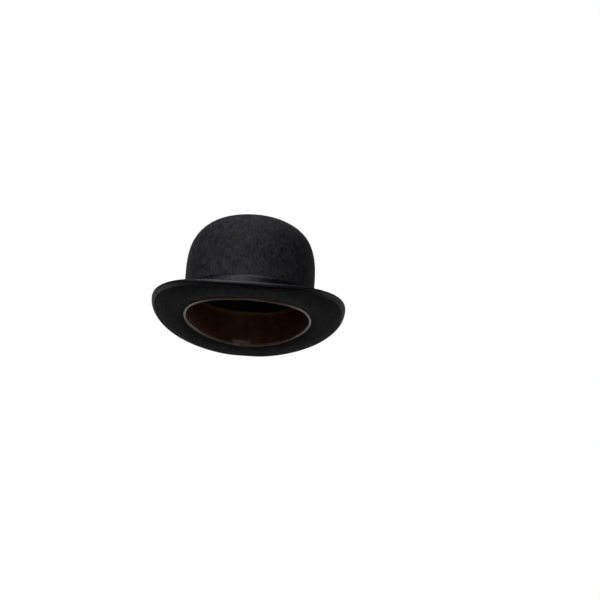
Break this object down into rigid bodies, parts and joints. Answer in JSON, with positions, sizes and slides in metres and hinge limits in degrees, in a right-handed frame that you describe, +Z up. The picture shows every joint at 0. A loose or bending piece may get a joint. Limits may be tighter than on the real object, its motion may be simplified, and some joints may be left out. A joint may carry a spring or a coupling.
{
  "type": "bowler hat",
  "caption": "Stiff black felt hat with a domed crown, a side-curled bound brim, a ribbon band with a side bow, and a leather sweatband and lining inside.",
  "frame": {"origin": "under the middle of the head opening, in the plane of the two flats, front and back, that the brim rests on", "axes": "+Z up through the crown, the front of the hat faces -Y, the wearer's left, with the bow, is +X"},
  "size_m": [0.2498, 0.3042, 0.133],
  "materials": {
    "felt": "matt brushed fur felt, near black",
    "ribbon": "black grosgrain with a soft sheen",
    "thread": "black sewing thread",
    "leather": "worn brown leather, smooth",
    "reed": "pale bare reed",
    "tape": "dark woven cotton tape",
    "tab": "pale tan leather",
    "paper": "plain cream card",
    "satin": "black satin"
  },
  "bodies": {
    "root": {"felt_body": "felt", "hat_band": "ribbon", "brim_binding": "ribbon", "binding_thread_under": "thread", "binding_thread_top": "thread", "bow_tails": "ribbon", "bow_loops": "ribbon", "bow_knot": "ribbon", "sweatband": "leather", "sweatband_reed": "reed", "reed_tape": "tape", "sweatband_thread": "thread", "back_join_tab": "tab", "size_ticket": "paper", "lining_side": "satin", "lining_tip": "satin"}
  },
  "joints": []
}
